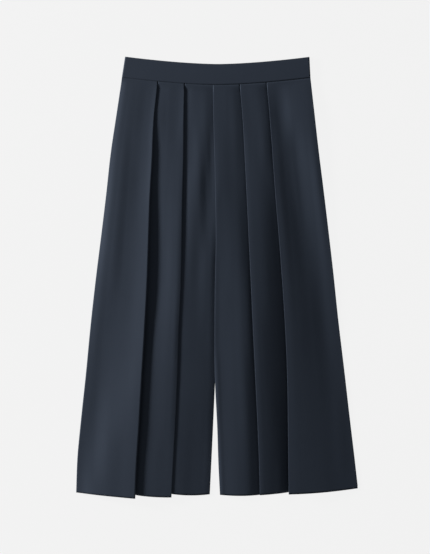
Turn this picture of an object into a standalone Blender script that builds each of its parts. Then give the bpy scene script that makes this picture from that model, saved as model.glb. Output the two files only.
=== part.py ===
"""Hakama trousers lying flat on their back, with the pleated front up.

The cloth is drawn as sections across the trousers, one for each station down the length. A section runs from
the side seam to the middle: over each pleat to its fold edge, back under it to the hidden fold, and on again.
Every section of a panel has the same number of points, so the panel is one lofted sheet, which Solidify makes
a wall.

X is across the front, Y points to the waist and Z up from the surface that the back rests on. The origin
is on that surface, in the middle of the whole outline. Tables are in millimetres.
"""

import math
from collections import namedtuple

import bpy
import numpy as np

MM = 0.001

# Cloth, in millimetres
CLOTH = 1.2
LAYER_GAP = 0.4
PITCH = CLOTH + LAYER_GAP
SEAM_GAP = 0.3

# Waistband, in millimetres
BAND_HEIGHT = 38.0
BAND_THICKNESS = 2.8
BAND_TOP_LEFT = -171.5
BAND_TOP_RIGHT = 172.5
BAND_EDGE_RADIUS = 0.8
BAND_STEPS = 16

# The waist seam is an arc that rises from the middle towards the sides, and the top edge runs along with it.
SEAM_MIDDLE_Y = 361.3
ARC_RISE = 13.1
ARC_HALF_WIDTH = 172.0
ARC_POWER = 1.6

# Heights of the middle of the cloth, in millimetres: on the surface, and on the back. Over a pleat's hidden
# fold the cloth is clear of two layers.
BACK_Z = CLOTH / 2
FRONT_Z = BACK_Z + PITCH
STACK_HEIGHT = 2 * PITCH

# The cloth starts to climb onto the layers this far before the hidden fold, over this width, in a soft bend
CLEARING_FROM = 26.0
CLEARING_WIDTH = 24.0
CLEARING_SOFTNESS = 0.7
FOLD_CLEARANCE = 2.5

# The side seam: the height of the front's lower edge, and the radius of its bend onto the front
SIDE_Z = CLOTH + SEAM_GAP
SIDE_RADIUS = 1.5
SIDE_FOOT = 0.1

# Sections: distance down from the waist seam, then places across the front
Section = namedtuple("Section", "drop side_left fold_a fold_b inner_left fold_c fold_d fold_e side_right")
SECTIONS = [
    Section(0, -177.5, -110.3, -60.5, 14.0, -7.5, 42.5, 92.5, 174.5),
    Section(66, -187.5, -117.2, -62.0, 15.0, -6.5, 48.0, 98.6, 181.8),
    Section(141, -198.7, -120.0, -62.5, 14.5, -4.5, 52.0, 104.0, 190.3),
    Section(216, -207.0, -124.3, -64.3, 12.5, -3.0, 55.8, 109.3, 199.7),
    Section(291, -216.0, -126.8, -65.5, 8.5, -2.0, 59.3, 115.5, 208.7),
    Section(365, -225.3, -129.3, -67.0, 3.5, -3.5, 62.8, 121.0, 217.2),
    Section(459, -236.0, -134.2, -71.0, -1.0, -4.5, 67.0, 127.0, 227.0),
    Section(552, -245.0, -139.8, -74.0, -3.5, -4.0, 71.5, 131.0, 238.0),
    Section(646, -255.0, -145.3, -78.5, -7.5, 0.5, 76.0, 132.3, 248.7),
    Section(710, -261.0, -149.5, -82.0, -10.5, 2.5, 78.5, 133.0, 256.3),
    Section(771, -263.2, -152.2, -85.0, -13.5, 5.5, 80.0, 133.6, 263.2),
]
LENGTH_BELOW_SEAM = SECTIONS[-1].drop
ROWS = 25

# Rises: how high a stretch of the front lies above its lowest layer, at five shares of the way to its edge
SHARES = (0.0, 0.25, 0.50, 0.75, 1.0)
Rise = namedtuple("Rise", "drop start quarter half three_quarters edge")
RISE_TO_A = [
    Rise(0, 0.8, 2.5, 2.5, 2.3, 2.7),
    Rise(122, 0.7, 3.0, 2.6, 2.7, 5.1),
    Rise(253, 0.6, 4.2, 3.6, 4.2, 7.2),
    Rise(402, 1.2, 3.2, 3.6, 5.2, 9.0),
    Rise(552, 2.4, 3.0, 5.0, 8.3, 12.0),
    Rise(650, 2.4, 3.4, 7.4, 10.6, 13.0),
    Rise(771, 2.0, 5.8, 8.4, 9.8, 11.6),
]
RISE_A_TO_B = [
    Rise(0, 0.0, 1.4, 1.6, 1.5, 2.3),
    Rise(122, 0.0, 1.4, 2.0, 2.3, 2.5),
    Rise(253, 0.0, 1.2, 2.6, 4.0, 4.2),
    Rise(402, 0.3, 1.8, 3.6, 5.4, 5.4),
    Rise(552, 2.4, 6.0, 6.9, 7.4, 6.6),
    Rise(650, 3.6, 7.2, 7.9, 7.9, 7.2),
    Rise(771, 3.4, 6.4, 6.6, 6.4, 6.2),
]
RISE_B_TO_INNER = [
    Rise(0, 0.0, 1.0, 1.0, 0.7, 0.0),
    Rise(122, 0.0, 0.9, 2.0, 1.2, 0.0),
    Rise(253, 0.7, 2.4, 2.0, 0.4, 0.2),
    Rise(402, 1.8, 2.6, 2.1, 1.5, 0.0),
    Rise(552, 3.0, 3.8, 3.2, 2.0, 0.0),
    Rise(650, 3.6, 4.6, 3.5, 2.1, 0.0),
    Rise(771, 2.6, 3.6, 2.6, 1.5, 0.0),
]
RISE_TO_E = [
    Rise(0, 2.4, 2.6, 2.2, 1.8, 2.5),
    Rise(122, 4.0, 3.8, 2.0, 2.7, 5.0),
    Rise(253, 2.8, 2.0, 1.4, 4.5, 7.2),
    Rise(402, 1.0, 1.2, 3.7, 7.1, 9.2),
    Rise(552, 0.3, 2.0, 5.0, 8.0, 9.9),
    Rise(771, 0.2, 2.9, 6.0, 8.4, 9.7),
]
RISE_E_TO_D = [
    Rise(0, 0.0, 1.6, 2.2, 2.3, 2.6),
    Rise(122, 0.0, 2.0, 2.4, 2.9, 2.8),
    Rise(253, 0.0, 2.7, 4.7, 5.8, 5.9),
    Rise(402, 0.0, 3.2, 5.9, 7.5, 8.2),
    Rise(552, 0.0, 3.5, 6.4, 8.5, 9.4),
    Rise(771, 0.0, 4.0, 6.3, 8.1, 9.2),
]
RISE_D_TO_C = [
    Rise(0, 0.0, 1.4, 1.8, 2.0, 2.2),
    Rise(122, 0.0, 1.8, 2.6, 3.4, 3.3),
    Rise(253, 0.0, 2.4, 3.6, 4.2, 3.8),
    Rise(402, 0.0, 2.6, 2.9, 2.7, 2.2),
    Rise(552, 0.0, 3.6, 3.9, 3.4, 2.6),
    Rise(771, 0.0, 3.9, 5.2, 4.8, 2.6),
]

# Knife pleats: how the front rises to the edge, how deep the pleat goes back under it, and the largest radius
# of its fold. The hem columns are the Y of the cloth's end at the edge, at the hidden fold and on the layer
# below, and how far the hem before the edge hangs lower in its middle.
Pleat = namedtuple("Pleat", "edge rises depth_waist depth_hem radius hem_edge hem_hidden hem_below hem_sag")
PLEATS_LEFT = [
    Pleat("fold_a", RISE_TO_A, 30.0, 50.0, 2.0, -411.2, -404.0, -405.3, 0.5),
    Pleat("fold_b", RISE_A_TO_B, 25.0, 36.0, 1.1, -409.7, -403.0, -403.4, 1.3),
]
PLEATS_RIGHT = [
    Pleat("fold_e", RISE_TO_E, 30.0, 50.0, 2.0, -403.6, -393.0, -400.8, 2.0),
    Pleat("fold_d", RISE_E_TO_D, 25.0, 30.0, 1.5, -405.0, -399.5, -405.6, 0.4),
    Pleat("fold_c", RISE_D_TO_C, 20.0, 12.0, 0.8, -405.2, -403.0, -403.0, 1.6),
]
HEM_SIDE_LEFT = -401.0
HEM_INNER_LEFT = -404.6
HEM_INNER_SAG = 2.4
HEM_SIDE_RIGHT = -393.5
HEM_BACK_RAISED = 4.0

# The middle pleat's hidden end lies on the other leg down to the gap between the legs, and settles below it.
GAP_STARTS_AT = 0.70
SETTLING = 1.0

SHARP_ANGLE = math.radians(50)

# Points along each run of a section
SIDE_STEPS = 9
BETWEEN_STEPS = 5
RISE_STEPS = 4
TURN_STEPS = 4
RETURN_STEPS = 3
BELOW_STEPS = 2
INNER_STEPS = 8
BACK_STEPS = 6

# The back seam, and the inset of the back legs' inner edges under the front
BACK_SEAM = -2.0
BACK_INSET = 1.0

# Colours in linear light, and how rough the cloth is
NAVY = (0.0275, 0.0360, 0.0530)
NAVY_BAND = (0.0255, 0.0335, 0.0495)
CLOTH_ROUGHNESS = 0.88

# A run of every section: places across, heights, and Y of the hem
Strip = namedtuple("Strip", "across height hem")

# The inner stretch of a panel: its end, where the other leg covers it, its rises, and Y of its hem
Inner = namedtuple("Inner", "end covered_from rises hem")


def smooth_curve(knots, values, places):
    """Values at these places, on a cubic through the knots, down the first axis."""
    slopes = np.gradient(values, knots, axis=0)
    row = np.clip(np.searchsorted(knots, places, side="right") - 1, 0, len(knots) - 2)
    width = knots[row + 1] - knots[row]
    t = (places - knots[row]) / width
    if values.ndim > 1:
        t, width = t[:, None], width[:, None]
    return (
        (1 + 2 * t) * (1 - t) ** 2 * values[row]
        + t * (1 - t) ** 2 * width * slopes[row]
        + t**2 * (3 - 2 * t) * values[row + 1]
        + t**2 * (t - 1) * width * slopes[row + 1]
    )


def section_column(name, drops):
    """A column of SECTIONS at these drops."""
    knots = np.array([section.drop for section in SECTIONS], float)
    values = np.array([getattr(section, name) for section in SECTIONS], float)
    return smooth_curve(knots, values, drops)


def rise_at(rises, share, drops):
    """How high a stretch lies at shares of the way to its edge, with a row of shares for each drop."""
    table = np.array(rises, float)
    heights = smooth_curve(table[:, 0], table[:, 1:], drops)
    share = np.clip(share, 0, 1)
    knots = np.array(SHARES)
    return np.array([smooth_curve(knots, row, place) for row, place in zip(heights, share)])


def ease(t):
    """0 to 1 with level ends."""
    t = np.clip(t, 0, 1)
    return t * t * (3 - 2 * t)


def waist_seam_y(across):
    """Y of the waist seam's arc."""
    return SEAM_MIDDLE_Y + ARC_RISE * (np.abs(across) / ARC_HALF_WIDTH) ** ARC_POWER


def columns(low, high, steps, skip_first=True):
    """Places from low to high for every row, and their shares of the way.

    The first place is left out where it belongs to the run before.
    """
    share = np.linspace(0, 1, steps + 1)[int(skip_first) :]
    return low[:, None] + (high - low)[:, None] * share, share


def hem_between(start, end, share, sag=0.0):
    """Y of the hem at these shares of the way between two ends, lower in the middle by the sag."""
    return start + (end - start) * share - 4 * sag * share * (1 - share)


def turn(across, height, radius, heading, last, hem):
    """An arc of cloth from a point, whose heading turns evenly to the last one.

    A radius above zero turns it clockwise, and one below zero the other way.
    """
    angle = heading[:, None] + (last - heading)[:, None] * np.linspace(0, 1, TURN_STEPS + 1)[1:]
    places = across[:, None] + radius[:, None] * (np.sin(heading)[:, None] - np.sin(angle))
    heights = height[:, None] + radius[:, None] * (np.cos(angle) - np.cos(heading)[:, None])
    return Strip(places, heights, np.full(TURN_STEPS, hem))


def side_seam(side, radius, slope, height, hem):
    """The front's side edge: up from the back, then round onto the front at this height and slope."""
    bend_from = height - radius * np.cos(slope)
    foot = np.minimum(SIDE_Z, bend_from - SIDE_FOOT)
    upright = Strip(np.stack([side, side], axis=1), np.stack([foot, bend_from], axis=1), np.full(2, hem))
    bend = turn(side, bend_from, radius, np.full_like(side, math.pi / 2), slope, hem)
    return [upright, bend]


def front_section(drops, mirrored, side, pleats, hem_side, inner=None):
    """Every section of one front panel, from the side seam to the middle.

    Places are measured towards the middle, so on the viewer's right they are mirrored. The runs follow the
    cloth: lying, rising over the hidden fold, round the edge, back under it, round the hidden fold and out
    again. A panel without an inner stretch stops under the edge of its last pleat.
    """
    sign = -1 if mirrored else 1
    share_down = drops / LENGTH_BELOW_SEAM
    level = np.zeros_like(drops)
    low = side
    low_hem = hem_side
    strips = []
    for number, pleat in enumerate(pleats):
        edge = sign * section_column(pleat.edge, drops)
        hidden = edge - pleat.depth_waist - (pleat.depth_hem - pleat.depth_waist) * share_down
        ends_here = inner is None and pleat is pleats[-1]
        following = pleats[number + 1].rises if number + 1 < len(pleats) else inner.rises if inner else None
        emerging = level if ends_here else rise_at(following, level[:, None], drops)[:, 0]

        def top(across):
            """Height of the shown cloth: its rise, or clear of the pleat's layers, in a smooth maximum."""
            rise = rise_at(pleat.rises, (across - low[:, None]) / (edge - low)[:, None], drops)
            ramp = ease((across - hidden[:, None] + CLEARING_FROM) / CLEARING_WIDTH)
            clear = STACK_HEIGHT * ramp - (1 - ramp)
            return FRONT_Z + (rise + clear + np.hypot(rise - clear, CLEARING_SOFTNESS)) / 2

        def slope_at(across):
            """Slope of the shown cloth, as an angle."""
            pair = top(across[:, None] + np.array([0.0, 1.0]))
            return np.arctan(pair[:, 1] - pair[:, 0])

        # Where the cloth turns round the edge, as wide as the room above the layer below lets it
        slope = slope_at(edge - CLOTH)
        room = top((edge - CLOTH)[:, None])[:, 0] - FRONT_Z - emerging - PITCH
        radius = np.minimum(pleat.radius, room / 2)
        turn_at = edge - CLOTH / 2 - radius * (1 + np.sin(slope))

        def shown(across):
            """A run of the shown cloth, with its stretch of the hem."""
            along = (across - low[:, None])[-1] / (turn_at - low)[-1]
            return Strip(across, top(across), hem_between(low_hem, pleat.hem_edge, along, pleat.hem_sag))

        # The side seam, or out from under the edge before, and lying
        begin = low
        if number == 0:
            outer = low + CLOTH / 2
            first_slope = slope_at(outer + SIDE_RADIUS)
            first_radius = np.minimum(SIDE_RADIUS, top((outer + SIDE_RADIUS)[:, None])[:, 0] - SIDE_Z)
            begin = outer + first_radius * (1 - np.sin(first_slope))
            strips += side_seam(outer, first_radius, first_slope, top(begin[:, None])[:, 0], hem_side)
        start = hidden - FOLD_CLEARANCE - PITCH / 2
        strips.append(shown(columns(begin, start, BETWEEN_STEPS if number else SIDE_STEPS)[0]))

        # Rising over the hidden fold to the edge, and round it
        strips.append(shown(columns(start, turn_at, RISE_STEPS)[0]))
        height_there = strips[-1].height[:, -1]
        strips.append(turn(turn_at, height_there, radius, slope, slope - math.pi, pleat.hem_edge))

        # Back under it
        across, share = columns(strips[-1].across[:, -1], hidden, RETURN_STEPS)
        at_turn = (2 * radius / np.cos(slope))[:, None]
        below = at_turn + (PITCH - at_turn) * ease(share)
        settling = ends_here * SETTLING * ease((share_down - GAP_STARTS_AT) / (1 - GAP_STARTS_AT))
        clear = FRONT_Z + PITCH + emerging[:, None] * ease(1 - share)
        height = np.maximum(top(across) - below, clear) - settling[:, None] * share
        strips.append(Strip(across, height, hem_between(pleat.hem_edge, pleat.hem_hidden, share)))
        if ends_here:
            return strips

        # Round the hidden fold and out again under the edge
        hidden_radius = (height[:, -1] - FRONT_Z) / 2
        strips.append(turn(hidden, height[:, -1], -hidden_radius, level - math.pi, level, pleat.hem_hidden))
        across, share = columns(hidden, edge, BELOW_STEPS)
        height = FRONT_Z + emerging[:, None] * ease(share)
        strips.append(Strip(across, height, hem_between(pleat.hem_hidden, pleat.hem_below, share)))
        low = edge
        low_hem = pleat.hem_below

    across, share = columns(low, inner.end, INNER_STEPS)
    covered_from = np.minimum(inner.end, inner.covered_from)
    rise = rise_at(inner.rises, (across - low[:, None]) / (covered_from - low)[:, None], drops)
    strips.append(Strip(across, FRONT_Z + rise, hem_between(low_hem, inner.hem, share, HEM_INNER_SAG)))
    return strips


def sheet_points(strips, drops, mirrored):
    """Points of a lofted sheet as an array of rows, columns and XYZ in metres."""
    across = np.hstack([strip.across for strip in strips])
    height = np.hstack([strip.height for strip in strips])
    hem = np.concatenate([np.atleast_1d(strip.hem) for strip in strips])
    if mirrored:
        across = -across
    top = waist_seam_y(across[0]) - SEAM_GAP
    along = top + (hem - top) * (drops / LENGTH_BELOW_SEAM)[:, None]
    return np.stack([across, along, height], axis=2) * MM


def cloth_object(name, points, thickness, material, collection):
    """A sheet of rows and columns of points with a wall of this thickness, half of it on each side."""
    rows, cols = points.shape[:2]
    index = np.arange(rows * cols).reshape(rows, cols)
    faces = np.stack([index[:-1, :-1], index[1:, :-1], index[1:, 1:], index[:-1, 1:]], axis=2)
    mesh = bpy.data.meshes.new(name)
    mesh.from_pydata(points.reshape(-1, 3).tolist(), [], faces.reshape(-1, 4).tolist())
    mesh.materials.append(material)
    mesh.shade_smooth()
    mesh.set_sharp_from_angle(angle=SHARP_ANGLE)
    piece = bpy.data.objects.new(name, mesh)
    collection.objects.link(piece)
    wall = piece.modifiers.new("Wall", "SOLIDIFY")
    wall.thickness = thickness * MM
    wall.offset = 0
    wall.use_even_offset = True
    return piece


def cloth_material(name, colour):
    """Matt cloth of one colour."""
    material = bpy.data.materials.new(name)
    material.use_nodes = True
    shader = material.node_tree.nodes["Principled BSDF"]
    shader.inputs["Base Color"].default_value = (*colour, 1)
    shader.inputs["Roughness"].default_value = CLOTH_ROUGHNESS
    shader.inputs["Metallic"].default_value = 0
    return material


def front_panels(material, collection):
    """The two pleated front panels: the viewer's left has two knife pleats, and the right three."""
    drops = np.linspace(0, LENGTH_BELOW_SEAM, ROWS)
    side_left = section_column("side_left", drops)
    side_right = section_column("side_right", drops)
    inner_left = section_column("inner_left", drops)
    fold_c = section_column("fold_c", drops)
    inner = Inner(inner_left, fold_c, RISE_B_TO_INNER, HEM_INNER_LEFT)
    left = front_section(drops, False, side_left, PLEATS_LEFT, HEM_SIDE_LEFT, inner)
    right = front_section(drops, True, -side_right, PLEATS_RIGHT, HEM_SIDE_RIGHT)
    cloth_object("front_panel_left", sheet_points(left, drops, False), CLOTH, material, collection)
    cloth_object("front_panel_right", sheet_points(right, drops, True)[:, ::-1], CLOTH, material, collection)


def back_panels(material, collection):
    """The two plain back panels, flat on the surface. Their hem stops short, hidden under the front."""
    drops = np.linspace(0, LENGTH_BELOW_SEAM, ROWS)
    inner_left = np.minimum(BACK_SEAM - SEAM_GAP, section_column("inner_left", drops) - BACK_INSET)
    inner_right = np.maximum(BACK_SEAM, section_column("fold_c", drops) + BACK_INSET)
    side_left = section_column("side_left", drops)
    side_right = section_column("side_right", drops)
    sides = [
        ("back_panel_left", side_left, inner_left, HEM_SIDE_LEFT, HEM_INNER_LEFT),
        ("back_panel_right", inner_right, side_right, HEM_INNER_LEFT, HEM_SIDE_RIGHT),
    ]
    for name, low, high, hem_low, hem_high in sides:
        across, share = columns(low, high, BACK_STEPS, skip_first=False)
        hem = hem_between(hem_low, hem_high, share) + HEM_BACK_RAISED
        strip = Strip(across, np.full_like(across, BACK_Z), hem)
        cloth_object(name, sheet_points([strip], drops, False), CLOTH, material, collection)


def waistbands(material, collection):
    """The front and back halves of the waistband, each a doubled band with rounded edges."""
    bottom_left = SECTIONS[0].side_left
    bottom_right = SECTIONS[0].side_right
    share = np.linspace(0, 1, BAND_STEPS + 1)
    top = BAND_TOP_LEFT + (BAND_TOP_RIGHT - BAND_TOP_LEFT) * share
    bottom = bottom_left + (bottom_right - bottom_left) * share
    for name, layer in (("waistband_back", 0), ("waistband_front", 1)):
        height = np.full_like(share, BAND_THICKNESS / 2 + layer * (BAND_THICKNESS + SEAM_GAP))
        upper = np.stack([top, waist_seam_y(bottom) + BAND_HEIGHT, height], axis=1)
        lower = np.stack([bottom, waist_seam_y(bottom), height], axis=1)
        points = np.stack([upper, lower]) * MM
        piece = cloth_object(name, points, BAND_THICKNESS, material, collection)
        rounding = piece.modifiers.new("Rounded edges", "BEVEL")
        rounding.width = BAND_EDGE_RADIUS * MM
        rounding.segments = 2
        rounding.limit_method = "ANGLE"
        rounding.angle_limit = SHARP_ANGLE


def main():
    for leftover in list(bpy.data.objects):
        bpy.data.objects.remove(leftover, do_unlink=True)
    collection = bpy.data.collections.new("Hakama trousers")
    bpy.context.scene.collection.children.link(collection)
    cloth = cloth_material("Navy cloth", NAVY)
    band = cloth_material("Navy band", NAVY_BAND)
    front_panels(cloth, collection)
    back_panels(cloth, collection)
    waistbands(band, collection)


main()
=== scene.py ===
"""Hakama trousers lying flat on their back, front up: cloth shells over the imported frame, seen from above.

Each front panel is one sheet of cloth. A section across it follows the cloth from the side seam to the
middle: it lies, rises over a pleat's hidden fold to the pleat's edge, turns back under, turns again and comes
out below the edge. Sections down the length make the sheet. Lengths in the tables are in millimetres. X is
across the front, Y points to the waist and Z is up.
"""

import logging
import math
import operator
from dataclasses import dataclass
from enum import Enum
from functools import reduce
from typing import Any, NamedTuple, Optional, Sequence, Union

import bpy
import numpy as np
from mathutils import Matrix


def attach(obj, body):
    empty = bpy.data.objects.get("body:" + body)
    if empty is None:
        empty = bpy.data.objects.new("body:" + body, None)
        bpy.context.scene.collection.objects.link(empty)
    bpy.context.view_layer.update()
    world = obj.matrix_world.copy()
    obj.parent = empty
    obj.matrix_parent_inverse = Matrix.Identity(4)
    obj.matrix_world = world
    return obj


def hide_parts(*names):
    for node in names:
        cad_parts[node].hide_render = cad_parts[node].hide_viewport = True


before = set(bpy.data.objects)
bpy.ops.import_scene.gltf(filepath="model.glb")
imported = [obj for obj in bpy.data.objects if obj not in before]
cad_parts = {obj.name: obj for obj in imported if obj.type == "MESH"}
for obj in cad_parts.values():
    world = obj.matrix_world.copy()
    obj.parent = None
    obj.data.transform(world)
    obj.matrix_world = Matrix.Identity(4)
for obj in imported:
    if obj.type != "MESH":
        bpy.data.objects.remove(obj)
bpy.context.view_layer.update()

log = logging.getLogger("hakama")

Floats = np.ndarray
MM = 0.001

# The cloth's thickness, the step from layer to layer, the gap left at a seam, and heights of layers' middles
SHELL = 0.5
PITCH = 0.8
SEAM_GAP = 0.3
BACK_Z = SHELL / 2
FRONT_Z = 1.2
STACK_HEIGHT = 2 * PITCH

# The photograph: its size, the real length of a pixel, and where the garment's middle is in it
PHOTO_WIDTH = 430
PHOTO_HEIGHT = 554
PIXEL = 1.87
PHOTO_MIDDLE_X = 217.0
PHOTO_MIDDLE_Y = 277.8


class Layer(Enum):
    """What a run of cloth does in a section."""

    SHOWN = "shown"
    HIDDEN = "hidden"


class Section(NamedTuple):
    """Places across the front at one distance down from the waist seam."""

    drop: float
    side_left: float
    fold_a: float
    fold_b: float
    inner_left: float
    fold_c: float
    fold_d: float
    fold_e: float
    side_right: float


SECTIONS = (
    Section(0, -177.5, -110.3, -60.5, 14.0, -7.5, 42.5, 92.5, 174.5),
    Section(66, -187.5, -117.2, -62.0, 15.0, -6.5, 48.0, 98.6, 181.8),
    Section(141, -198.7, -120.0, -62.5, 14.5, -4.5, 52.0, 104.0, 190.3),
    Section(216, -207.0, -124.3, -64.3, 12.5, -3.0, 55.8, 109.3, 199.7),
    Section(291, -216.0, -126.8, -65.5, 8.5, -2.0, 59.3, 115.5, 208.7),
    Section(365, -225.3, -129.3, -67.0, 3.5, -3.5, 62.8, 121.0, 217.2),
    Section(459, -236.0, -134.2, -71.0, -1.0, -4.5, 67.0, 127.0, 227.0),
    Section(552, -245.0, -139.8, -74.0, -3.5, -4.0, 71.5, 131.0, 238.0),
    Section(646, -255.0, -145.3, -78.5, -7.5, 0.5, 76.0, 132.3, 248.7),
    Section(710, -261.0, -149.5, -82.0, -10.5, 2.5, 78.5, 133.0, 256.3),
    Section(771, -263.2, -152.2, -85.0, -13.5, 5.5, 80.0, 133.6, 263.2),
)
LENGTH_BELOW_SEAM = SECTIONS[-1].drop


class Rise(NamedTuple):
    """Heights of a panel above the front's lowest layer at one drop, at SHARES of the way to its edge."""

    drop: float
    start: float
    tenth: float
    quarter: float
    half: float
    three_quarters: float
    nine_tenths: float
    edge: float


SHARES = (0.0, 0.10, 0.25, 0.50, 0.75, 0.90, 1.0)

RISE_TO_A = (
    Rise(0, 0.8, 2.1, 2.5, 2.5, 2.3, 2.4, 2.7),
    Rise(66, 0.8, 2.4, 3.0, 2.8, 2.4, 3.0, 4.0),
    Rise(122, 0.7, 2.4, 3.0, 2.6, 2.8, 3.9, 5.4),
    Rise(187, 0.6, 2.8, 3.5, 2.8, 2.9, 4.5, 6.3),
    Rise(253, 0.6, 3.3, 4.2, 3.6, 4.2, 5.9, 7.5),
    Rise(327, 0.8, 3.3, 4.3, 3.8, 5.1, 7.0, 8.6),
    Rise(402, 1.4, 2.9, 3.4, 3.8, 5.5, 7.9, 9.7),
    Rise(477, 2.2, 3.1, 3.2, 4.4, 6.9, 9.4, 11.2),
    Rise(552, 2.8, 3.1, 3.2, 5.5, 9.0, 11.6, 13.0),
    Rise(627, 3.0, 3.1, 3.4, 7.6, 11.3, 13.2, 14.1),
    Rise(692, 2.6, 2.8, 4.1, 8.9, 11.0, 12.4, 13.2),
    Rise(771, 2.4, 3.6, 6.6, 9.2, 10.6, 11.8, 12.4),
)
RISE_A_TO_B = (
    Rise(0, 0.8, 1.1, 1.4, 1.5, 1.3, 1.7, 2.1),
    Rise(66, 1.3, 1.8, 1.9, 1.5, 1.2, 2.0, 2.6),
    Rise(122, 0.7, 1.1, 1.5, 1.9, 2.2, 2.5, 2.6),
    Rise(187, 0.5, 0.9, 1.5, 2.4, 3.3, 3.6, 3.5),
    Rise(253, 0.4, 0.6, 1.3, 2.7, 4.1, 4.5, 4.2),
    Rise(327, 0.4, 0.6, 1.4, 3.0, 5.0, 5.4, 4.8),
    Rise(402, 0.6, 1.2, 2.3, 4.1, 5.9, 6.3, 5.6),
    Rise(477, 1.4, 3.2, 4.9, 6.2, 7.3, 7.4, 6.5),
    Rise(552, 3.4, 5.6, 6.9, 7.6, 8.0, 7.8, 7.0),
    Rise(627, 4.7, 7.2, 8.2, 8.6, 8.7, 8.4, 7.7),
    Rise(692, 4.8, 7.1, 7.8, 8.0, 7.7, 7.5, 7.2),
    Rise(771, 4.6, 6.7, 7.3, 7.3, 7.0, 6.8, 6.6),
)
RISE_B_TO_INNER = (
    Rise(0, 0.0, 0.5, 1.0, 1.0, 0.7, 0.3, 0.0),
    Rise(66, 0.2, 0.4, 0.8, 1.3, 1.4, 0.7, 0.1),
    Rise(122, 0.3, 0.5, 0.9, 2.0, 1.2, 0.1, 0.0),
    Rise(187, 0.6, 1.0, 2.0, 2.7, 0.5, 0.0, 0.2),
    Rise(253, 1.3, 1.7, 2.3, 1.9, 0.4, 0.3, 0.3),
    Rise(327, 2.6, 2.7, 2.6, 1.6, 1.5, 1.0, 0.0),
    Rise(402, 3.9, 3.8, 3.3, 2.3, 1.8, 1.1, 0.0),
    Rise(477, 4.9, 4.8, 4.3, 3.1, 1.9, 1.1, 0.0),
    Rise(552, 5.4, 5.3, 4.8, 3.7, 2.3, 1.2, 0.0),
    Rise(627, 6.1, 6.0, 5.4, 4.0, 2.5, 1.3, 0.0),
    Rise(692, 5.7, 5.6, 4.9, 3.3, 1.9, 1.0, 0.0),
    Rise(771, 5.1, 5.0, 4.4, 2.9, 1.7, 0.9, 0.0),
)
RISE_TO_E = (
    Rise(0, 2.6, 2.8, 2.7, 2.2, 1.7, 2.1, 2.4),
    Rise(66, 5.0, 5.2, 5.0, 3.8, 1.7, 3.1, 4.1),
    Rise(122, 4.5, 4.9, 4.1, 2.0, 2.7, 4.3, 5.0),
    Rise(187, 4.0, 4.6, 3.2, 1.4, 3.3, 5.4, 6.2),
    Rise(253, 2.9, 3.3, 2.1, 1.4, 4.5, 6.7, 7.3),
    Rise(327, 1.7, 1.8, 1.1, 2.3, 5.9, 8.0, 8.6),
    Rise(402, 1.0, 1.1, 1.2, 4.0, 7.6, 9.4, 9.8),
    Rise(477, 0.4, 0.8, 1.4, 4.8, 8.4, 10.0, 10.5),
    Rise(552, 0.3, 0.9, 2.1, 5.5, 8.7, 10.2, 10.7),
    Rise(627, 0.2, 1.1, 2.8, 6.1, 9.0, 10.3, 10.7),
    Rise(771, 0.2, 1.3, 3.1, 6.5, 9.0, 10.1, 10.5),
)
RISE_E_TO_D = (
    Rise(0, 0.0, 0.8, 1.6, 2.2, 2.3, 2.5, 2.6),
    Rise(66, 0.0, 0.9, 1.7, 2.0, 2.3, 2.6, 2.7),
    Rise(122, 0.0, 1.0, 2.0, 2.4, 2.9, 3.1, 2.9),
    Rise(187, 0.0, 0.8, 1.8, 3.1, 3.8, 4.0, 3.9),
    Rise(253, 0.0, 1.0, 2.7, 4.8, 5.9, 6.3, 6.3),
    Rise(327, 0.0, 1.2, 3.1, 5.7, 7.1, 7.6, 7.7),
    Rise(402, 0.0, 1.3, 3.3, 6.2, 8.0, 8.7, 8.8),
    Rise(477, 0.0, 1.4, 3.5, 6.6, 9.0, 9.9, 10.0),
    Rise(627, 0.0, 1.4, 3.6, 6.8, 9.1, 10.1, 10.4),
    Rise(771, 0.0, 1.6, 4.1, 6.7, 8.8, 9.7, 9.9),
)
RISE_D_TO_C = (
    Rise(0, 0.0, 0.7, 1.4, 1.8, 2.0, 2.1, 2.2),
    Rise(66, 0.0, 0.8, 1.7, 2.1, 2.5, 2.7, 2.7),
    Rise(122, 0.0, 0.8, 1.8, 2.6, 3.4, 3.6, 3.5),
    Rise(187, 0.0, 0.9, 1.9, 3.0, 4.0, 4.3, 4.1),
    Rise(253, 0.0, 1.0, 2.4, 3.6, 4.2, 4.4, 4.1),
    Rise(327, 0.0, 1.3, 2.8, 3.6, 3.5, 3.4, 3.1),
    Rise(402, 0.0, 1.5, 2.7, 2.9, 2.7, 2.5, 2.3),
    Rise(477, 0.0, 1.6, 2.9, 3.0, 2.6, 2.4, 2.3),
    Rise(552, 0.0, 1.7, 3.6, 3.9, 3.4, 3.2, 2.8),
    Rise(627, 0.0, 1.6, 3.7, 4.3, 4.0, 3.6, 3.0),
    Rise(692, 0.0, 1.6, 3.8, 4.9, 4.6, 4.0, 3.0),
    Rise(771, 0.0, 1.6, 3.9, 5.2, 4.8, 4.0, 3.0),
)


class Pleat(NamedTuple):
    """A knife pleat: the panel up to its edge, its depth under the edge, its edge's radius, and Y of the hem.

    The hem hangs lower by its sag in the middle of the panel's shown stretch.
    """

    edge: str
    rise: Sequence[Rise]
    depth_waist: float
    depth_hem: float
    radius: float
    hem_edge: float
    hem_hidden: float
    hem_below: float
    hem_sag: float


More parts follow.
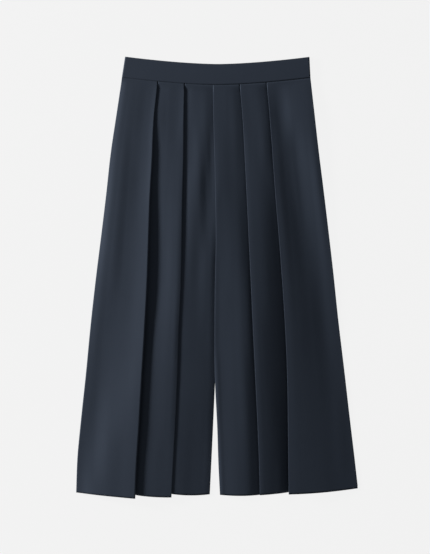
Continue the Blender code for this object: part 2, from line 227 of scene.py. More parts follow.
PLEATS_LEFT = (
    Pleat("fold_a", RISE_TO_A, 30.0, 50.0, 1.8, -411.2, -404.0, -405.3, 0.5),
    Pleat("fold_b", RISE_A_TO_B, 25.0, 36.0, 1.6, -409.7, -403.0, -403.4, 1.3),
)
PLEATS_RIGHT = (
    Pleat("fold_e", RISE_TO_E, 30.0, 50.0, 0.30, -403.6, -393.0, -400.8, 2.0),
    Pleat("fold_d", RISE_E_TO_D, 25.0, 30.0, 0.30, -405.0, -399.5, -405.6, 0.4),
    Pleat("fold_c", RISE_D_TO_C, 20.0, 12.0, 0.30, -405.2, -403.0, -403.0, 1.6),
)

# Y of the hem at the side and inner seams, its sag on the inner stretch, and how much higher the backs end
HEM_SIDE_LEFT = -401.0
HEM_INNER_LEFT = -404.6
HEM_INNER_SAG = 2.4
HEM_SIDE_RIGHT = -393.5
HEM_BACK_RAISED = 4.0

# The share of the way down where the legs part, and the lift of the last pleat's free edge below it
GAP_STARTS_AT = 0.70
SETTLED_LIFT = 0.4


class SoftFold(NamedTuple):
    """A soft ridge in the cloth, or a trough where its height is negative, from one point to another."""

    across_from: float
    drop_from: float
    across_to: float
    drop_to: float
    width: float
    height: float


SOFT_FOLDS = (
    SoftFold(-170.0, 90.0, -196.0, 420.0, 12.0, 0.3),
    SoftFold(226.0, 560.0, 236.0, 770.0, 13.0, 0.3),
    SoftFold(-1.5, 170.0, -4.0, 520.0, 5.0, 0.5),
    SoftFold(-3.5, 470.0, 9.0, 771.0, 5.0, 0.8),
)
SOFT_FOLD_FADE = 60.0


def ease(t: Floats) -> Floats:
    """0 to 1 with level ends: three times t squared less twice t cubed."""
    t = np.clip(t, 0, 1)
    return t * t * (3 - 2 * t)


def hermite(
    t: Floats, width: Floats, low: Floats, high: Floats, low_slope: Floats, high_slope: Floats
) -> Floats:
    """A cubic between two knots: each value and slope times its own polynomial in the share of the way.

    Args:
        t: the share of the way from the lower knot to the higher.
        width: how far apart the knots are.
        low: the value at the lower knot.
        high: the value at the higher knot.
        low_slope: the slope at the lower knot.
        high_slope: the slope at the higher knot.

    Returns:
        The cubic's value.
    """
    return (
        (1 + 2 * t) * (1 - t) ** 2 * low
        + t * (1 - t) ** 2 * width * low_slope
        + t**2 * (3 - 2 * t) * high
        + t**2 * (t - 1) * width * high_slope
    )


def cubic(knots: Floats, values: Floats, places: Floats) -> Floats:
    """A smooth curve through points, of cubics whose slopes come from each knot's neighbours.

    Args:
        knots: where the values are given, in rising order.
        values: the values, along the first axis.
        places: where the curve is wanted.

    Returns:
        The curve's values, with the places' axes before those that the values have after their first.
    """
    slopes = np.gradient(values, knots, axis=0)
    row = np.clip(np.searchsorted(knots, places, side="right") - 1, 0, len(knots) - 2)
    width = knots[row + 1] - knots[row]
    t = np.clip((places - knots[row]) / width, 0, 1)
    more = (...,) + (None,) * (values.ndim - 1)
    return hermite(t[more], width[more], values[row], values[row + 1], slopes[row], slopes[row + 1])


def section_column(name: str, drops: Floats) -> Floats:
    """A column of SECTIONS at any drop, on a cubic through the table's rows."""
    knots = np.array([section.drop for section in SECTIONS], float)
    return cubic(knots, np.array([getattr(section, name) for section in SECTIONS], float), drops)


def rise_at(table: Sequence[Rise], share: Floats, drops: Floats) -> Floats:
    """A panel's height above the lowest layer: cubics down the table's rows, then cubics across its shares.

    Args:
        table: the panel's heights.
        share: the share of the way to the panel's edge, a row for each drop.
        drops: distances down from the waist seam.

    Returns:
        The height at each share, in millimetres.
    """
    rows = np.array(table, float)
    heights = cubic(rows[:, 0], rows[:, 1:], drops)
    knots = np.array(SHARES)
    slopes = np.gradient(heights, knots, axis=1)
    share = np.clip(share, 0, 1)
    place = np.clip(np.searchsorted(knots, share, side="right") - 1, 0, len(knots) - 2)
    width = knots[place + 1] - knots[place]
    ends = [np.take_along_axis(values, at, 1) for values in (heights, slopes) for at in (place, place + 1)]
    return hermite((share - knots[place]) / width, width, *ends)


def soft_folds(across: Floats, drops: Floats) -> Floats:
    """Height of every soft fold: each is a bell across its line, eased in and out along it.

    Args:
        across: X of the points, in millimetres.
        drops: their distances down from the waist seam.

    Returns:
        The height to add at each point, in millimetres.
    """
    total = np.zeros(np.broadcast(across, drops).shape)
    for fold in SOFT_FOLDS:
        t = (drops - fold.drop_from) / (fold.drop_to - fold.drop_from)
        line = fold.across_from + (fold.across_to - fold.across_from) * t
        starting = ease((drops - fold.drop_from) / SOFT_FOLD_FADE)
        ends_short = fold.drop_to < LENGTH_BELOW_SEAM
        ending = ease((fold.drop_to - drops) / SOFT_FOLD_FADE) if ends_short else 1.0
        total += fold.height * starting * ending * np.exp(-(((across - line) / fold.width) ** 2))
    return total


@dataclass(frozen=True)
class Waistline:
    """The waist seam's arc, which rises from the middle to the sides by a power of the distance."""

    middle_y: float = 361.3
    rise: float = 13.1
    half_width: float = 172.0
    power: float = 1.6

    def seam_y(self, across: Floats) -> Floats:
        """Y of the seam at X."""
        return self.middle_y + self.rise * (np.abs(across) / self.half_width) ** self.power


WAISTLINE = Waistline()


class Run(NamedTuple):
    """A stretch of every section: places across, heights, and Y of the hem, a column for each point."""

    across: Floats
    height: Floats
    hem: Floats
    layer: Layer


class Sheet(NamedTuple):
    """A finished sheet: its points in metres and its flat pattern coordinates, by row and column."""

    points: Floats
    pattern: Floats


def spread(low: Floats, high: Floats, steps: int, skip_first: bool = True) -> tuple[Floats, Floats]:
    """Evenly spaced places from low to high for every section.

    Args:
        low: the first place of each section.
        high: the last place of each section.
        steps: how many steps lie between them.
        skip_first: leave the first place out, where it belongs to the run before.

    Returns:
        The places, a row for each section, and their shares of the way.
    """
    share = np.linspace(0, 1, steps + 1)[int(skip_first) :]
    return low[:, None] + (high - low)[:, None] * share, share


def between(start: float, end: float, share: Floats) -> Floats:
    """Values at these shares of the way from start to end."""
    return start + (end - start) * share


def hem_line(start: float, end: float, sag: float, share: Floats) -> Floats:
    """Y of a hem between two ends: a straight line, lower by a parabola as deep as the sag in its middle."""
    return between(start, end, share) - 4 * sag * share * (1 - share)


@dataclass
class PleatedFront:
    """A front panel with knife pleats, from its side seam to the middle. Sizes are in millimetres.

    The steps are how many points each kind of run has. The clearing is how far before a pleat's hidden layers
    the shown cloth begins to rise over them, and the length in which it does. Near the waist seam the layers
    draw together: the shown ones to the seam's height, and the hidden ones by the press.
    """

    name: str
    mirrored: bool
    side: str
    pleats: Sequence[Pleat]
    hem_side: float
    inner: str = ""
    inner_line: str = "fold_c"
    inner_rise: Sequence[Rise] = ()
    hem_inner: float = 0.0
    rows: int = 200
    side_steps: int = 66
    between_steps: int = 40
    turn_steps: int = 10
    hidden_steps: int = 6
    under_steps: int = 5
    clearing_from: float = 26.0
    clearing_over: float = 24.0
    clearing_softness: float = 0.7
    side_z: float = 0.9
    side_radius: float = 1.2
    side_foot: float = 0.1
    least_radius: float = 0.28
    seam_rise: float = 14.0
    seam_z: float = 3.9
    seam_press: float = 0.7
    probe_step: float = 1.0

    @property
    def drops(self) -> Floats:
        """Distances of the sections down from the waist seam."""
        return np.linspace(0, LENGTH_BELOW_SEAM, self.rows)

    @property
    def sign(self) -> int:
        """What X is multiplied by, so that the side seam comes first from the left."""
        return -1 if self.mirrored else 1

    def top_height(
        self, table: Sequence[Rise], across: Floats, low: Floats, edge: Floats, hidden: Floats
    ) -> Floats:
        """Height of a shown run: its table's rise, kept clear of the pleat's layers below it.

        The two are joined by a smooth maximum: half of their sum and of the root of their difference squared
        with a small softness squared.

        Args:
            table: the run's heights.
            across: the places in each section.
            low: where the run starts in each section.
            edge: where the pleat's edge is in each section.
            hidden: where the layers below the run start in each section.

        Returns:
            The height at each place.
        """
        rise = rise_at(table, (across - low[:, None]) / (edge - low)[:, None], self.drops)
        rise = rise + soft_folds(self.sign * across, self.drops[:, None])
        ramp = ease((across - hidden[:, None] + self.clearing_from) / self.clearing_over)
        clear = STACK_HEIGHT * ramp - (1 - ramp)
        return FRONT_Z + (rise + clear + np.sqrt((rise - clear) ** 2 + self.clearing_softness**2)) / 2

    def runs(self) -> list[Run]:
        """The runs of cloth in every section, pleat after pleat from the side seam to the middle.

        Returns:
            The runs, in the order in which the cloth goes.
        """
        low = self.sign * section_column(self.side, self.drops)
        low_hem = self.hem_side
        runs: list[Run] = []
        for number, pleat in enumerate(self.pleats):
            edge = self.sign * section_column(pleat.edge, self.drops)
            runs.extend(self.pleat_runs(number, low, edge, low_hem))
            low, low_hem = edge, pleat.hem_below
        if self.inner:
            runs.append(self.inner_run(low, low_hem))
        return runs

    def pleat_runs(self, number: int, low: Floats, edge: Floats, low_hem: float) -> list[Run]:
        """The shown run up to a pleat's edge, the turn under it and the hidden layers below.

        A panel that ends at its last pleat has one hidden layer there, which settles towards the surface
        where the legs part.

        Args:
            number: the pleat's place in the panel.
            low: where the shown run starts in each section.
            edge: where the pleat's edge is in each section.
            low_hem: Y of the hem where the shown run starts.

        Returns:
            The runs, in the order in which the cloth goes.
        """
        pleat = self.pleats[number]
        share_down = self.drops / LENGTH_BELOW_SEAM
        hidden = edge - (pleat.depth_waist + (pleat.depth_hem - pleat.depth_waist) * share_down)
        ends_here = not self.inner and pleat is self.pleats[-1]
        level = np.zeros((self.rows, 1))
        emerging = level if ends_here else rise_at(self.after(number), level, self.drops)

        slope, radius = self.edge_shape(pleat, low, edge, hidden, emerging)
        turn_at = edge - SHELL / 2 - radius * (1 + np.sin(slope))
        begin = low if number else low + SHELL / 2 + self.side_radius
        across, share = spread(begin, turn_at, self.between_steps if number else self.side_steps)
        height = self.top_height(pleat.rise, across, low, edge, hidden)
        runs = [] if number else self.side_turn(low + SHELL / 2, across[:, :2], height[:, :2])
        hem = hem_line(low_hem, pleat.hem_edge, pleat.hem_sag, share)
        runs.append(Run(across, height, hem, Layer.SHOWN))

        turn = self.turn(turn_at, height[:, -1], radius, slope, slope - math.pi, pleat.hem_edge)
        runs.append(turn)
        across, share = spread(turn.across[:, -1], hidden, self.hidden_steps)
        close = (2 * radius / np.cos(slope))[:, None]
        gap = close + (PITCH - close) * ease(share)
        height = self.top_height(pleat.rise, across, low, edge, hidden) - gap
        height = np.maximum(height, FRONT_Z + PITCH + emerging * ease(1 - share))
        if ends_here:
            settle = ease((share_down - GAP_STARTS_AT) / (1 - GAP_STARTS_AT))
            height = height - (settle * (PITCH - SETTLED_LIFT))[:, None] * share
        runs.append(Run(across, height, between(pleat.hem_edge, pleat.hem_hidden, share), Layer.HIDDEN))
        if ends_here:
            return runs

        radius = (height[:, -1] - FRONT_Z) / 2
        back = np.full_like(hidden, -math.pi)
        runs.append(self.turn(hidden, height[:, -1], -radius, back, 0 * back, pleat.hem_hidden))
        across, share = spread(hidden, edge, self.under_steps)
        height = FRONT_Z + emerging * ease(share)
        runs.append(Run(across, height, between(pleat.hem_hidden, pleat.hem_below, share), Layer.HIDDEN))
        return runs

    def edge_shape(
        self, pleat: Pleat, low: Floats, edge: Floats, hidden: Floats, emerging: Floats
    ) -> tuple[Floats, Floats]:
        """How the cloth meets a pleat's edge: its slope there, and a radius for which there is room.

        The slope is the difference of two heights a step apart, over the step. The room is the height above
        the front's lowest layer, less what comes out below the pleat and one layer.

        Args:
            pleat: the pleat.
            low: where the shown run starts in each section.
            edge: where the pleat's edge is in each section.
            hidden: where its hidden layers start in each section.
            emerging: the rise of the stretch that comes out below it, a column.

        Returns:
            The slope's angle and the radius in each section.
        """
        probe = np.stack([edge - 2 * self.probe_step, edge - self.probe_step], axis=1)
        height = self.top_height(pleat.rise, probe, low, edge, hidden)
        slope = np.arctan((height[:, 1] - height[:, 0]) / self.probe_step)
        room = height[:, 1] - FRONT_Z - emerging[:, 0] - PITCH
        widest = np.maximum(room / 2, self.least_radius)
        return slope, np.clip(pleat.radius, self.least_radius, widest)

    def inner_run(self, low: Floats, low_hem: float) -> Run:
        """The shown stretch from the last pleat's edge to the middle.

        The shares of its table of heights end at the inner line or at the middle, whichever comes first.

        Args:
            low: where the stretch starts in each section.
            low_hem: Y of the hem there.

        Returns:
            The stretch.
        """
        inner = self.sign * section_column(self.inner, self.drops)
        line = np.minimum(inner, self.sign * section_column(self.inner_line, self.drops))
        across, share = spread(low, inner, self.side_steps)
        rise = rise_at(self.inner_rise, (across - low[:, None]) / (line - low)[:, None], self.drops)
        hem = hem_line(low_hem, self.hem_inner, HEM_INNER_SAG, share)
        return Run(across, FRONT_Z + rise, hem, Layer.SHOWN)

    def after(self, number: int) -> Sequence[Rise]:
        """Heights of the stretch that comes out below a pleat."""
        return self.pleats[number + 1].rise if number + 1 < len(self.pleats) else self.inner_rise

    def side_turn(self, side: Floats, across: Floats, height: Floats) -> list[Run]:
        """The cloth's turn up from the side seam: straight up, then round onto the panel's first slope.

        The slope's line is carried on outwards to the side. The arc touches it and the upright, and its
        radius is as wide as the room between the line and the side seam's height lets it be.

        Args:
            side: X of the upright in each section.
            across: the panel's first two places in each section.
            height: their heights.

        Returns:
            The upright and the arc.
        """
        rising = (height[:, 1] - height[:, 0]) / (across[:, 1] - across[:, 0])
        slope = np.arctan(rising)
        at_side = height[:, 0] - rising * (across[:, 0] - side)
        room = (at_side - self.side_z) * np.cos(slope) / (1 - np.sin(slope))
        radius = np.clip(room, self.least_radius, self.side_radius)
        low = at_side - radius * (np.cos(slope) - rising * (1 - np.sin(slope)))
        foot = np.stack([np.minimum(self.side_z, low - self.side_foot), low], axis=1)
        upright = Run(np.repeat(side[:, None], 2, axis=1), foot, np.full(2, self.hem_side), Layer.SHOWN)
        up = np.full_like(side, math.pi / 2)
        return [upright, self.turn(side, low, radius, up, slope, self.hem_side, Layer.SHOWN)]

    def turn(
        self,
        start: Floats,
        height: Floats,
        radius: Floats,
        heading: Floats,
        last: Floats,
        hem: float,
        layer: Layer = Layer.HIDDEN,
    ) -> Run:
        """An arc of cloth round a fold.

        From a point the cloth goes on in a heading that turns evenly to the last one. The place moves by the
        radius times the change of the heading's sine, and the height by its cosine. A radius above zero turns
        clockwise, and one below zero the other way.

        Args:
            start: the place of the arc's start in each section.
            height: the height of its start.
            radius: its radius.
            heading: the heading at its start, as an angle.
            last: the heading at its end.
            hem: Y of the hem round the whole fold.
            layer: what the arc belongs to.

        Returns:
            The arc, without its first point.
        """
        share = np.linspace(0, 1, self.turn_steps + 1)[1:]
        angle = heading[:, None] + (last - heading)[:, None] * share
        across = start[:, None] + radius[:, None] * (np.sin(heading)[:, None] - np.sin(angle))
        raised = height[:, None] + radius[:, None] * (np.cos(angle) - np.cos(heading)[:, None])
        return Run(across, raised, np.full(self.turn_steps, hem), layer)

    def sheet(self) -> Sheet:
        """The panel's grid: its top follows the waist seam and each column runs down to its own hem.

        Y goes from the seam to the hem by the drop's share of the length. The flat pattern's width is the
        length along each section from the middle, and its height is the drop.

        Returns:
            The points and their pattern coordinates.
        """
        drops = self.drops
        runs = self.runs()
        across = self.sign * np.hstack([run.across for run in runs])
        height = np.hstack([run.height for run in runs])
        hem = np.concatenate([run.hem for run in runs])
        shown = np.concatenate([np.full(len(run.hem), run.layer is Layer.SHOWN) for run in runs])
        meeting = ease(1 - drops / self.seam_rise)[:, None]
        pressed = FRONT_Z + (height - FRONT_Z) * self.seam_press
        height = height + (np.where(shown, self.seam_z, pressed) - height) * meeting
        top = WAISTLINE.seam_y(across[0]) - SEAM_GAP
        along = top + (hem - top) * (drops / LENGTH_BELOW_SEAM)[:, None]
        points = np.stack([across, along, height], axis=2) * MM
        steps = np.linalg.norm(np.diff(points[:, :, [0, 2]], axis=1), axis=2)
        length = np.concatenate([np.zeros((self.rows, 1)), np.cumsum(steps, axis=1)], axis=1)
        from_middle = length[:, -1:] - length
        down = np.broadcast_to(drops[:, None] * MM, from_middle.shape)
        pattern = np.stack([from_middle, -down], axis=2)
        if self.mirrored:
            points, pattern = points[:, ::-1], pattern[:, ::-1]
        return Sheet(points, pattern)

    def build(self, finish: "Cloth") -> None:
        """Makes the panel, dressed to stand for its frame node, with its cut from the developed widths.

        Args:
            finish: the cloth.
        """
        sheet = self.sheet()
        piece = cloth_object(self.name, sheet, finish)
        dress(piece, self.name)


def dress(piece: bpy.types.Object, node: str) -> None:
    """Rides the piece on the one body, and has it stand for its frame node.

    Args:
        piece: the new piece.
        node: the frame node that it replaces.
    """
    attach(piece, "root")
    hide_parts(node)
    log.info("%s stands for %s", piece.name, node)


def cloth_object(node: str, sheet: Sheet, finish: "Cloth") -> bpy.types.Object:
    """A grid of cloth with a wall, half of the cloth's thickness on each side of it.

    Args:
        node: the frame node's name, which begins the object's name.
        sheet: its points and pattern coordinates.
        finish: its material's recipe.

    Returns:
        The new object, at the origin, with its place in its mesh.
    """
    name = node + "_cloth"
    rows, cols = sheet.points.shape[:2]
    index = np.arange(rows * cols, dtype=np.int32).reshape(rows, cols)
    corners = [index[:-1, :-1], index[1:, :-1], index[1:, 1:], index[:-1, 1:]]
    faces = np.stack(corners, axis=2).reshape(-1, 4)
    mesh = bpy.data.meshes.new(name)
    mesh.vertices.add(rows * cols)
    mesh.vertices.foreach_set("co", sheet.points.astype(np.float32).ravel())
    mesh.loops.add(faces.size)
    mesh.loops.foreach_set("vertex_index", faces.ravel())
    mesh.polygons.add(len(faces))
    mesh.polygons.foreach_set("loop_start", np.arange(0, faces.size, 4, dtype=np.int32))
    mesh.update(calc_edges=True)
    layer = mesh.uv_layers.new(name="Pattern")
    pattern = sheet.pattern.reshape(-1, 2)[faces.ravel()].astype(np.float32)
    layer.data.foreach_set("uv", pattern.ravel())
    mesh.shade_smooth()
    mesh.materials.append(finish.material())
    piece = bpy.data.objects.new(name, mesh)
    bpy.context.scene.collection.objects.link(piece)
    wall = piece.modifiers.new("Wall", "SOLIDIFY")
    wall.thickness = SHELL * MM
    wall.offset = 0
    wall.use_even_offset = True
    return piece


@dataclass
class FlatBack:
    """A plain back panel between two lines, flat on the floor. Sizes are in millimetres."""

    name: str
    low: Floats
    high: Floats
    hem_low: float
    hem_high: float
    drops: Floats
    steps: int = 60

    def build(self, finish: "Cloth") -> None:
        """Makes the panel, dressed to stand for its frame node.

        Places are evenly spaced between the two lines, and Y goes from the waist seam to the hem by the
        drop's share of the length.

        Args:
            finish: the cloth.
        """
        across, share = spread(self.low, self.high, self.steps, skip_first=False)
        hem = between(self.hem_low, self.hem_high, share) + HEM_BACK_RAISED
        top = WAISTLINE.seam_y(across[0]) - SEAM_GAP
        along = top + (hem - top) * (self.drops / LENGTH_BELOW_SEAM)[:, None]
        points = np.stack([across, along, np.full_like(across, BACK_Z)], axis=2) * MM
        piece = cloth_object(self.name, Sheet(points, points[:, :, :2]), finish)
        widths = (self.high - self.low) * MM
        dress(piece, self.name)


@dataclass
class Waistband:
    """Half of the waistband: a strip folded along its top edge, its two layers flat on each other.

    The outer layer's lower edge is a distance up from the waist seam, or below it where it laps the front.
    Sizes are in millimetres.
    """

    name: str
    outer_z: float
    inner_z: float
    lower_edge: float = 0.4
    crown: float = 0.0
    rests_on: str = "floor"
    height: float = 38.0
    top_left: float = -171.5
    top_right: float = 172.5
    steps: int = 160
    layer_steps: int = 16
    turn_steps: int = 8
    end_width: float = 1.6
    end_z: float = 1.9
    end_closing: float = 0.4

    def profile(self) -> tuple[Floats, Floats]:
        """The band's section: the crowned outer layer, the half round of the fold and the inner layer.

        The crown is half a wave of a sine from the outer layer's lower edge to the fold.

        Returns:
            Distances up from the waist seam, and heights.
        """
        away = math.copysign(1, self.outer_z - self.inner_z)
        radius = abs(self.outer_z - self.inner_z) / 2
        angle = np.linspace(0, math.pi, self.turn_steps + 1)[1:-1]
        up = np.linspace(self.lower_edge, self.height - SHELL / 2 - radius, self.layer_steps)
        down = np.linspace(up[-1], SEAM_GAP, self.layer_steps)
        bulge = self.crown * np.sin(math.pi * (up - up[0]) / (up[-1] - up[0]))
        ups = [up, up[-1] + radius * np.sin(angle), down]
        heights = [
            self.outer_z + away * bulge,
            (self.outer_z + self.inner_z) / 2 + away * radius * np.cos(angle),
            np.full_like(down, self.inner_z),
        ]
        return np.concatenate(ups), np.concatenate(heights)

    def build(self, finish: "Cloth") -> None:
        """Makes the band, dressed to stand for its frame node.

        The profile is carried along the waist seam's arc, with closer places at the ends, where its layers
        draw together at the side seams.

        Args:
            finish: the band's cloth.
        """
        rise, height = self.profile()
        share = np.linspace(0, 1, self.steps + 1)
        share = (share + 2 * ease(share))[:, None] / 3
        bottom_left, bottom_right = SECTIONS[0].side_left, SECTIONS[0].side_right
        low = between(bottom_left, bottom_right, share)
        high = between(self.top_left, self.top_right, share)
        across = low + (high - low) * rise / self.height
        y = WAISTLINE.seam_y(low) + rise
        from_end = np.minimum(low - bottom_left, bottom_right - low)
        closing = self.end_closing * (1 - ease(from_end / self.end_width))
        z = height + (self.end_z - height) * closing * (height > SHELL)
        points = np.stack([across, y, z], axis=2) * MM
        girth = np.concatenate([[0], np.cumsum(np.hypot(np.diff(rise), np.diff(height)))]) * MM
        pattern = np.stack(np.broadcast_arrays(low * MM, girth), axis=2)
        if self.outer_z > self.inner_z:
            points, pattern = points[::-1], pattern[::-1]
        piece = cloth_object(self.name, Sheet(points, pattern), finish)
        dress(piece, self.name)
        flat = (float(low[-1, 0] - low[0, 0]) * MM, float(girth[-1]))


SocketLike = Union["Socket", float, int]


class Socket:
    """A shader value on which arithmetic adds Math nodes."""

    def __init__(self, graph: "Graph", output: bpy.types.NodeSocket) -> None:
        """Wraps an output of one of the graph's nodes."""
        self.graph = graph
        self.output = output

    def math(self, operation: str, *others: SocketLike) -> "Socket":
        """A Math node of this and the other values."""
        return self.graph.node("ShaderNodeMath", {"operation": operation}, dict(enumerate([self, *others])))

    def __add__(self, other: SocketLike) -> "Socket":
        """The sum."""
        return self.math("ADD", other)

    def __radd__(self, other: SocketLike) -> "Socket":
        """The sum, with the value on the right."""
        return self.math("ADD", other)

    def __mul__(self, other: SocketLike) -> "Socket":
        """The product."""
        return self.math("MULTIPLY", other)

    def __rmul__(self, other: SocketLike) -> "Socket":
        """The product, with the value on the right."""
        return self.math("MULTIPLY", other)

    def wave(self, pitch: float) -> "Socket":
        """A wave from 0 to 1 that repeats at each pitch of the value."""
        return (self * (2 * math.pi / pitch)).math("SINE") * 0.5 + 0.5


def weighted_sum(values: Sequence[Socket], weights: Sequence[float]) -> Socket:
    """The sum of shader values, each times its weight."""
    return reduce(operator.add, [value * weight for value, weight in zip(values, weights)])


class Graph:
    """A material's nodes."""

    def __init__(self, name: str) -> None:
        """Makes a material that has a shader alone.

        Args:
            name: the material's name.
        """
        self.material = bpy.data.materials.new(name)
        self.material.use_nodes = True
        self.tree = self.material.node_tree
        self.shader = self.tree.nodes["Principled BSDF"]

    def node(
        self,
        kind: str,
        settings: Optional[dict[str, Any]] = None,
        inputs: Optional[dict[Union[str, int], Any]] = None,
        output: Union[str, int] = 0,
    ) -> Socket:
        """Adds a node.

        Args:
            kind: the node's type.
            settings: its own properties, set first.
            inputs: a value, a colour or a Socket for each input, by name or number.
            output: the output to hand back.

        Returns:
            That output.
        """
        made = self.tree.nodes.new(kind)
        for key, value in (settings or {}).items():
            setattr(made, key, value)
        for key, value in (inputs or {}).items():
            self.feed(made.inputs[key], value)
        return Socket(self, made.outputs[output])

    def feed(self, target: bpy.types.NodeSocket, value: Any) -> None:
        """Links a Socket to an input, or sets the input's own value.

        Args:
            target: the input.
            value: a Socket, a number or a colour.
        """
        if isinstance(value, Socket):
            self.tree.links.new(value.output, target)
        else:
            target.default_value = value

    def set(self, **values: Any) -> None:
        """Sets or links inputs of the material's shader, each named with low lines for its spaces."""
        for key, value in values.items():
            self.feed(self.shader.inputs[key.replace("_", " ")], value)

    def part(self, vector: Socket, number: int) -> Socket:
        """One part of a vector."""
        return self.node("ShaderNodeSeparateXYZ", None, {0: vector}, output=number)

    def join(self, x: SocketLike, y: SocketLike) -> Socket:
        """A flat vector of two values."""
        return self.node("ShaderNodeCombineXYZ", None, {0: x, 1: y})

    def noise(self, vector: Socket, scale: float, detail: float) -> Socket:
        """Smooth noise from 0 to 1."""
        return self.node("ShaderNodeTexNoise", None, {"Vector": vector, "Scale": scale, "Detail": detail})

    def blend(self, share: Socket, dark: Sequence[float], light: Sequence[float]) -> Socket:
        """A colour between two, by the share."""
        mix = {"data_type": "RGBA"}
        return self.node("ShaderNodeMix", mix, {"Factor": share, 6: (*dark, 1), 7: (*light, 1)}, output=2)


@dataclass(frozen=True)
class Cloth:
    """Navy twill: fine slanting ribs of dyed yarn, a faint nap, and slow unevenness in its colour.

    Pitches and depths are in metres, and scales are in waves a metre. The tone's weights are those of ribs,
    yarns, fibres, patches and streaks, and the relief's are those of the first three.
    """

    name: str
    dark: tuple[float, float, float] = (0.0180, 0.0262, 0.0425)
    light: tuple[float, float, float] = (0.0278, 0.0390, 0.0600)
    roughness: float = 0.80
    specular: float = 0.25
    sheen: float = 0.10
    sheen_roughness: float = 0.5
    sheen_tint: tuple[float, float, float] = (0.75, 0.85, 1.0)
    rib_pitch: float = 0.0011
    yarn_pitch: float = 0.0006
    rib_depth: float = 0.00006
    rib_strength: float = 0.6
    fibre_scale: float = 2200.0
    patch_scale: float = 16.0
    streak_across: float = 260.0
    streak_down: float = 9.0
    tone_weights: tuple[float, ...] = (0.28, 0.10, 0.22, 0.28, 0.12)
    relief_weights: tuple[float, ...] = (0.6, 0.25, 0.3)

    def material(self) -> bpy.types.Material:
        """The finish's material, made once."""
        made = bpy.data.materials.get(self.name)
        return made if made else self.make()

    def make(self) -> bpy.types.Material:
        """Builds the nodes: waves for the ribs and the yarns, and noise for the rest.

        The ribs are waves of the pattern's width and height together, and the yarns of its height alone. The
        colour is a blend by the weighted sum of ribs, yarns, fibres, patches and streaks, and the relief is a
        bump by the weighted sum of the first three.

        Returns:
            The new material.
        """
        graph = Graph(self.name)
        pattern = graph.node("ShaderNodeUVMap", {"uv_map": "Pattern"})
        across, down = graph.part(pattern, 0), graph.part(pattern, 1)
        ribs = (across + down).wave(self.rib_pitch)
        yarns = down.wave(self.yarn_pitch)
        fibres = graph.noise(pattern, scale=self.fibre_scale, detail=2.0)
        patches = graph.noise(pattern, scale=self.patch_scale, detail=3.0)
        stretched = graph.join(across * self.streak_across, down * self.streak_down)
        streaks = graph.noise(stretched, scale=1.0, detail=2.0)
        tone = weighted_sum((ribs, yarns, fibres, patches, streaks), self.tone_weights)
        height = weighted_sum((ribs, yarns, fibres), self.relief_weights)
        relief = {"Strength": self.rib_strength, "Distance": self.rib_depth, "Height": height}
        graph.set(
            Base_Color=graph.blend(tone, self.dark, self.light),
            Normal=graph.node("ShaderNodeBump", None, relief),
            Roughness=self.roughness,
            Specular_IOR_Level=self.specular,
            Sheen_Weight=self.sheen,
            Sheen_Roughness=self.sheen_roughness,
            Sheen_Tint=(*self.sheen_tint, 1.0),
        )
        return graph.material


@dataclass(frozen=True)
class Studio:
    """The pale floor, the soft light from the viewer's left, and the camera straight above.

    Lengths are in metres, but for the camera's, and angles in degrees.
    """

    floor_tone: float = 0.03
    floor_glow: float = 0.868
    floor_size: float = 6.0
    floor_drop: float = 0.0006
    lens: float = 100.0
    sensor: float = 36.0
    key_power: float = 246.0
    key_size: float = 0.60
    key_distance: float = 3.6
    key_elevation: float = 13.5
    key_azimuth: float = 16.0
    fill: float = 0.185

    def floor(self) -> None:
        """A wide plain floor that glows a little, so that no shadow darkens it much."""
        half = self.floor_size / 2
        z = -self.floor_drop
        mesh = bpy.data.meshes.new("floor")
        corners = [(-half, -half, z), (half, -half, z), (half, half, z), (-half, half, z)]
        mesh.from_pydata(corners, [], [(0, 1, 2, 3)])
        graph = Graph("Floor")
        graph.set(
            Base_Color=(self.floor_tone, self.floor_tone, self.floor_tone, 1),
            Roughness=1.0,
            Specular_IOR_Level=0.0,
            Emission_Color=(1, 1, 1, 1),
            Emission_Strength=self.floor_glow,
        )
        mesh.materials.append(graph.material)
        floor = bpy.data.objects.new("floor", mesh)
        bpy.context.scene.collection.objects.link(floor)

    def lights(self) -> None:
        """One soft panel low on the left, and an even sky."""
        panel = bpy.data.lights.new("key", "AREA")
        panel.shape = "DISK"
        panel.size = self.key_size
        panel.energy = self.key_power
        key = bpy.data.objects.new("key", panel)
        elevation, azimuth = math.radians(self.key_elevation), math.radians(self.key_azimuth)
        away = self.key_distance * math.cos(elevation)
        height = self.key_distance * math.sin(elevation)
        key.location = (-away * math.cos(azimuth), away * math.sin(azimuth), height)
        key.rotation_euler = (0.0, elevation - math.pi / 2, -azimuth)
        bpy.context.scene.collection.objects.link(key)
        world = bpy.data.worlds.new("studio")
        world.use_nodes = True
        background = world.node_tree.nodes["Background"]
        background.inputs["Color"].default_value = (1, 1, 1, 1)
        background.inputs["Strength"].default_value = self.fill
        bpy.context.scene.world = world
        bpy.context.scene.view_settings.view_transform = "Standard"

    def camera(self) -> None:
        """Straight down, at the height where the photograph's frame covers its real length of floor."""
        data = bpy.data.cameras.new("camera")
        data.lens = self.lens
        data.sensor_width = self.sensor
        camera = bpy.data.objects.new("camera", data)
        covered = PHOTO_HEIGHT * PIXEL * MM
        x = (PHOTO_WIDTH / 2 - PHOTO_MIDDLE_X) * PIXEL * MM
        y = (PHOTO_MIDDLE_Y - PHOTO_HEIGHT / 2) * PIXEL * MM
        camera.location = (x, y, covered * self.lens / self.sensor)
        bpy.context.scene.collection.objects.link(camera)
        bpy.context.scene.camera = camera

    def build(self) -> None:
        """Sets the stage."""
        self.floor()
        self.lights()
        self.camera()


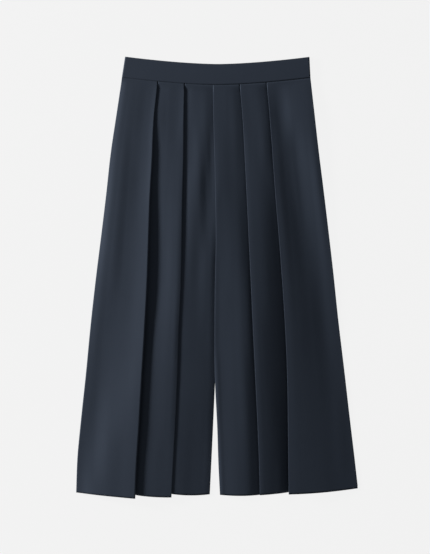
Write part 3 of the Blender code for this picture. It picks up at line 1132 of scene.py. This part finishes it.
@dataclass
class Hakama:
    """The whole garment: two pleated fronts, two plain backs and two halves of the waistband."""

    back_seam: float = -2.0
    back_inset: float = 1.0
    back_rows: int = 120

    def build(self) -> None:
        """Makes and dresses every piece."""
        cloth = Cloth("Navy twill")
        band = Cloth(
            "Navy twill, waistband", dark=(0.0178, 0.0258, 0.0420), light=(0.0276, 0.0386, 0.0595)
        )
        self.backs(cloth)
        PleatedFront(
            "front_panel_left",
            False,
            "side_left",
            PLEATS_LEFT,
            HEM_SIDE_LEFT,
            inner="inner_left",
            inner_rise=RISE_B_TO_INNER,
            hem_inner=HEM_INNER_LEFT,
        ).build(cloth)
        PleatedFront(
            "front_panel_right", True, "side_right", PLEATS_RIGHT, HEM_SIDE_RIGHT, side_radius=0.5
        ).build(cloth)
        Waistband("waistband_back", outer_z=0.25, inner_z=1.05).build(band)
        Waistband(
            "waistband_front",
            outer_z=4.42,
            inner_z=2.9,
            lower_edge=-0.8,
            crown=0.3,
            rests_on="waistband_back_cloth",
        ).build(band)

    def backs(self, cloth: Cloth) -> None:
        """The two back panels, which meet in a middle seam above the gap between the legs.

        Each inner line is the front's, a little further in, but not across the middle seam.

        Args:
            cloth: their cloth.
        """
        drops = np.linspace(0, LENGTH_BELOW_SEAM, self.back_rows)
        side_left, side_right = section_column("side_left", drops), section_column("side_right", drops)
        inner_left = section_column("inner_left", drops) - self.back_inset
        inner_left = np.minimum(self.back_seam - SEAM_GAP, inner_left)
        inner_right = np.maximum(self.back_seam, section_column("fold_c", drops) + self.back_inset)
        left_hems, right_hems = (HEM_SIDE_LEFT, HEM_INNER_LEFT), (HEM_INNER_LEFT, HEM_SIDE_RIGHT)
        FlatBack("back_panel_left", side_left, inner_left, *left_hems, drops).build(cloth)
        FlatBack("back_panel_right", inner_right, side_right, *right_hems, drops).build(cloth)


def main() -> None:
    """Builds the garment and its stage."""
    logging.basicConfig(level=logging.INFO, format="%(message)s")
    Hakama().build()
    Studio().build()


if __name__ == "__main__":
    main()
